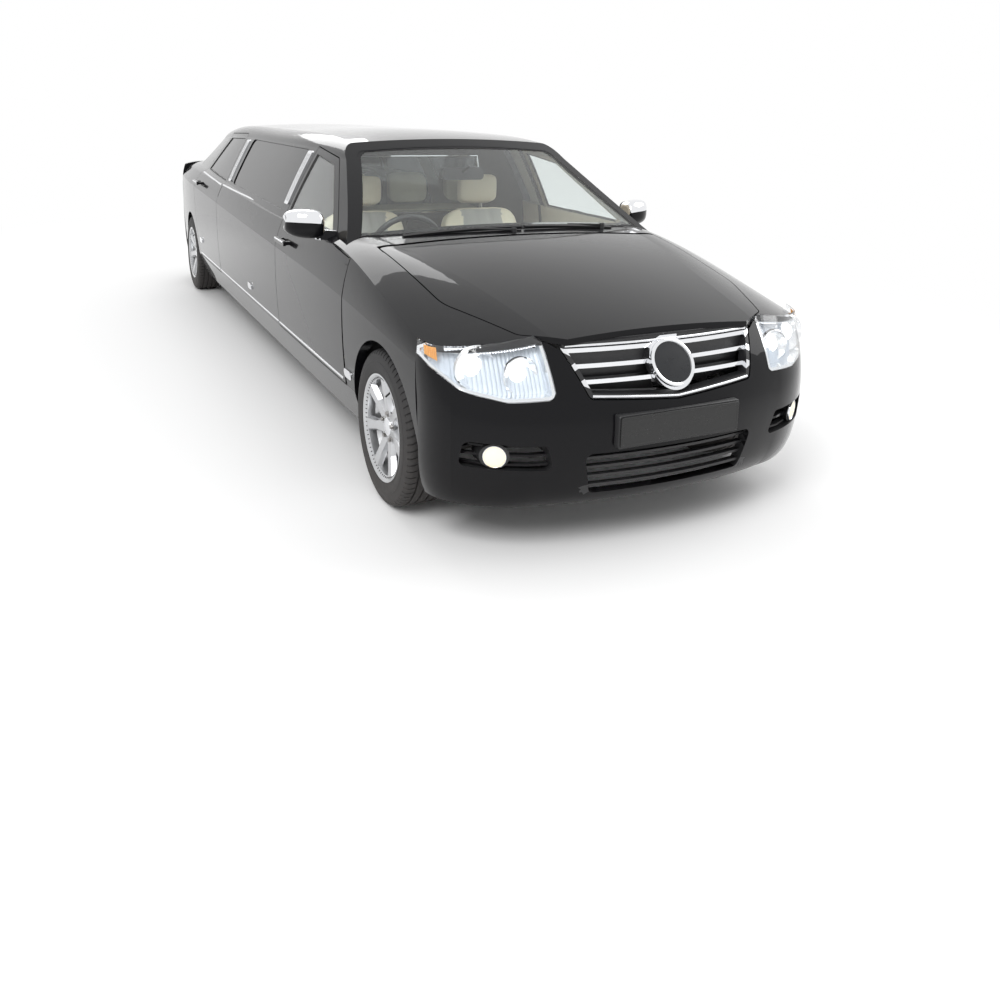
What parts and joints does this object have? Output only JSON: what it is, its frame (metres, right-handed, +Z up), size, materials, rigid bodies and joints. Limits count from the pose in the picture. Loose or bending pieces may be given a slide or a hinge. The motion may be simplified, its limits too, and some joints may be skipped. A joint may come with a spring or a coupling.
{
  "type": "stretch limousine",
  "caption": "Long-wheelbase saloon car with hinged doors, bonnet and boot lid, steered front wheels and a partitioned cabin for chauffeured passengers.",
  "frame": {"origin": "ground level under the middle of the car's overall length and width", "axes": "+Z up, -Y to the front of the car, +X to the car's left"},
  "size_m": [2.024, 6.673, 1.4491],
  "materials": {
    "paint_black": "high gloss clear coat",
    "chrome": "polished",
    "clear_glass": "polished",
    "tinted_glass": "polished, dark tint",
    "lamp_clear": "polished clear lens",
    "lamp_red": "moulded lens",
    "reflector": "bright reflector",
    "tyre": "moulded rubber",
    "alloy": "silver lacquer",
    "black_plastic": "grained",
    "grey_plastic": "grained",
    "dark_trim": "satin",
    "cream_leather": "soft grain",
    "steel_dark": "satin underseal",
    "aluminium_cast": "as cast"
  },
  "bodies": {
    "body": {"floor_pan": "steel_dark", "sills": "paint_black", "body_sides": "paint_black", "quarter_panels": "paint_black", "roof_panel": "paint_black", "scuttle_panel": "paint_black", "front_wings": "paint_black", "front_bumper": "paint_black", "rear_bumper": "paint_black", "lamp_lenses": "lamp_clear", "headlamp_bowls": "reflector", "tail_lamps": "lamp_red", "windscreen": "clear_glass", "dark_glass": "tinted_glass", "side_brightwork": "chrome", "wipers": "black_plastic", "dashboard": "grey_plastic", "steering_wheel": "black_plastic", "interior_mirror": "black_plastic", "seats": "cream_leather", "partition": "dark_trim", "engine_block": "aluminium_cast", "front_subframe": "steel_dark", "rear_suspension": "steel_dark", "exhaust": "steel_dark", "arch_liners": "black_plastic"},
    "bonnet": {"bonnet": "paint_black", "grille": "chrome"},
    "boot_lid": {"boot_lid": "paint_black"},
    "front_door_left": {"front_door_left": "paint_black", "front_door_glass_left": "clear_glass"},
    "rear_door_left": {"rear_door_left": "paint_black", "rear_door_glass_left": "tinted_glass"},
    "front_door_right": {"front_door_right": "paint_black", "front_door_glass_right": "clear_glass"},
    "rear_door_right": {"rear_door_right": "paint_black", "rear_door_glass_right": "tinted_glass"},
    "knuckle_left": {"knuckle_left": "steel_dark"},
    "knuckle_right": {"knuckle_right": "steel_dark"},
    "wheel_front_left": {"tyre_front_left": "tyre", "rim_front_left": "alloy"},
    "wheel_front_right": {"tyre_front_right": "tyre", "rim_front_right": "alloy"},
    "wheel_rear_left": {"tyre_rear_left": "tyre", "rim_rear_left": "alloy"},
    "wheel_rear_right": {"tyre_rear_right": "tyre", "rim_rear_right": "alloy"}
  },
  "joints": [
    {"name": "bonnet_hinge", "type": "hinge", "parent": "body", "child": "bonnet", "pos_m": [0, -2.055, 0.938], "axis": [-1, 0, 0], "range_deg": [0, 50]},
    {"name": "boot_lid_hinge", "type": "hinge", "parent": "body", "child": "boot_lid", "pos_m": [0, 2.44, 0.955], "axis": [1, 0, 0], "range_deg": [0, 80]},
    {"name": "front_door_left_hinge", "type": "hinge", "parent": "body", "child": "front_door_left", "pos_m": [0.857, -2.028, 0.62], "axis": [0, 0, -1], "range_deg": [0, 65]},
    {"name": "rear_door_left_hinge", "type": "hinge", "parent": "body", "child": "rear_door_left", "pos_m": [0.857, 1.03, 0.62], "axis": [0, 0, -1], "range_deg": [0, 65]},
    {"name": "front_door_right_hinge", "type": "hinge", "parent": "body", "child": "front_door_right", "pos_m": [-0.857, -2.028, 0.62], "axis": [0, 0, 1], "range_deg": [0, 65]},
    {"name": "rear_door_right_hinge", "type": "hinge", "parent": "body", "child": "rear_door_right", "pos_m": [-0.857, 1.03, 0.62], "axis": [0, 0, 1], "range_deg": [0, 65]},
    {"name": "steer_left", "type": "hinge", "parent": "body", "child": "knuckle_left", "pos_m": [0.7155, -2.56, 0.316], "axis": [0, 0, 1], "range_deg": [-35, 35]},
    {"name": "steer_right", "type": "hinge", "parent": "body", "child": "knuckle_right", "pos_m": [-0.7155, -2.56, 0.316], "axis": [0, 0, 1], "range_deg": [-35, 35]},
    {"name": "wheel_front_left_spin", "type": "hinge", "parent": "knuckle_left", "child": "wheel_front_left", "pos_m": [0.7705, -2.56, 0.316], "axis": [1, 0, 0], "continuous": true},
    {"name": "wheel_front_right_spin", "type": "hinge", "parent": "knuckle_right", "child": "wheel_front_right", "pos_m": [-0.7705, -2.56, 0.316], "axis": [1, 0, 0], "continuous": true},
    {"name": "wheel_rear_left_spin", "type": "hinge", "parent": "body", "child": "wheel_rear_left", "pos_m": [0.7705, 2.29, 0.316], "axis": [1, 0, 0], "continuous": true},
    {"name": "wheel_rear_right_spin", "type": "hinge", "parent": "body", "child": "wheel_rear_right", "pos_m": [-0.7705, 2.29, 0.316], "axis": [1, 0, 0], "continuous": true}
  ],
  "couplings": [
    {"joint": "steer_right", "follows": "steer_left", "ratio": 1}
  ]
}
